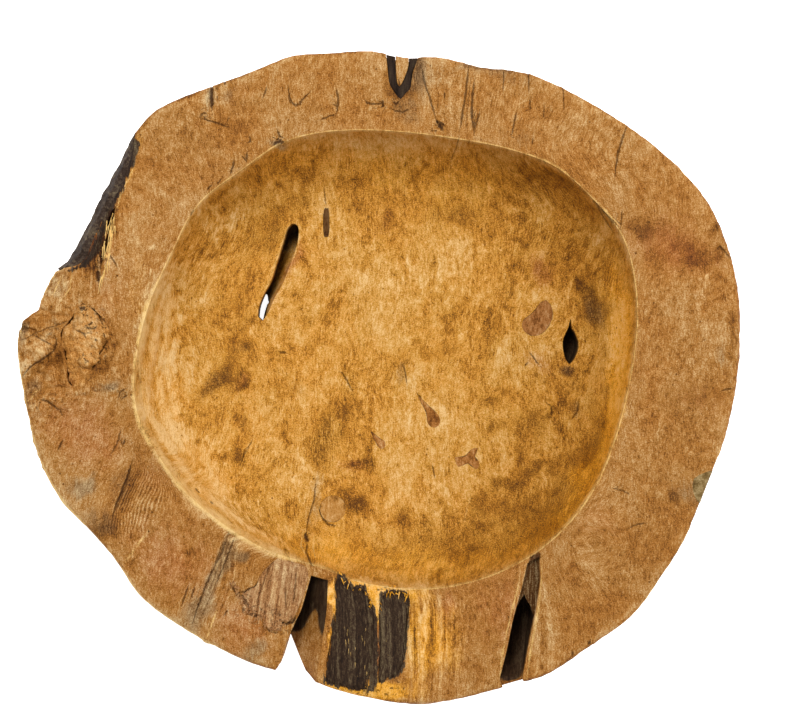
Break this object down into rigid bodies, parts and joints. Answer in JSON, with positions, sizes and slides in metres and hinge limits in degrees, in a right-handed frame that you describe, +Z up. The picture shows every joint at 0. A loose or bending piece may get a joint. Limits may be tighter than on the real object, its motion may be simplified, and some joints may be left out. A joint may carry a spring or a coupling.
{
  "type": "teak root bowl",
  "caption": "Wide-rimmed live-edge dish carved from a teak root slab, with held bark, encased knots, dark fills and a natural notch.",
  "frame": {"origin": "under the middle of the bowl, on the surface that it stands on", "axes": "+X along the length, from the burl to the plain end of the rim; +Y from the notch to the back of the rim; +Z up"},
  "size_m": [0.6, 0.5439, 0.13],
  "materials": {
    "teak": "sanded and oiled, satin",
    "bark": "raw dark bark, matt",
    "burl": "sanded burl, pitted, satin",
    "weathered_teak": "weathered, dry, matt",
    "fibrous_bark": "torn fibres, matt",
    "dead_knot": "sanded knot, satin",
    "filler": "wood dust in glue, sanded, satin",
    "edge_filler": "wood dust in glue, greyed, matt"
  },
  "bodies": {
    "root": {"carved_root": "teak", "outer_bark": "bark", "left_burl": "burl", "weathered_flake": "weathered_teak", "bark_strip_left": "bark", "bark_strip_right": "bark", "cleft_bark": "fibrous_bark", "top_bark_pocket": "bark", "oval_knot": "dead_knot", "disc_knot": "dead_knot", "teardrop_fill": "filler", "trefoil_fill": "filler", "seed_fill": "filler", "slit_fill": "filler", "edge_patch": "edge_filler"}
  },
  "joints": []
}
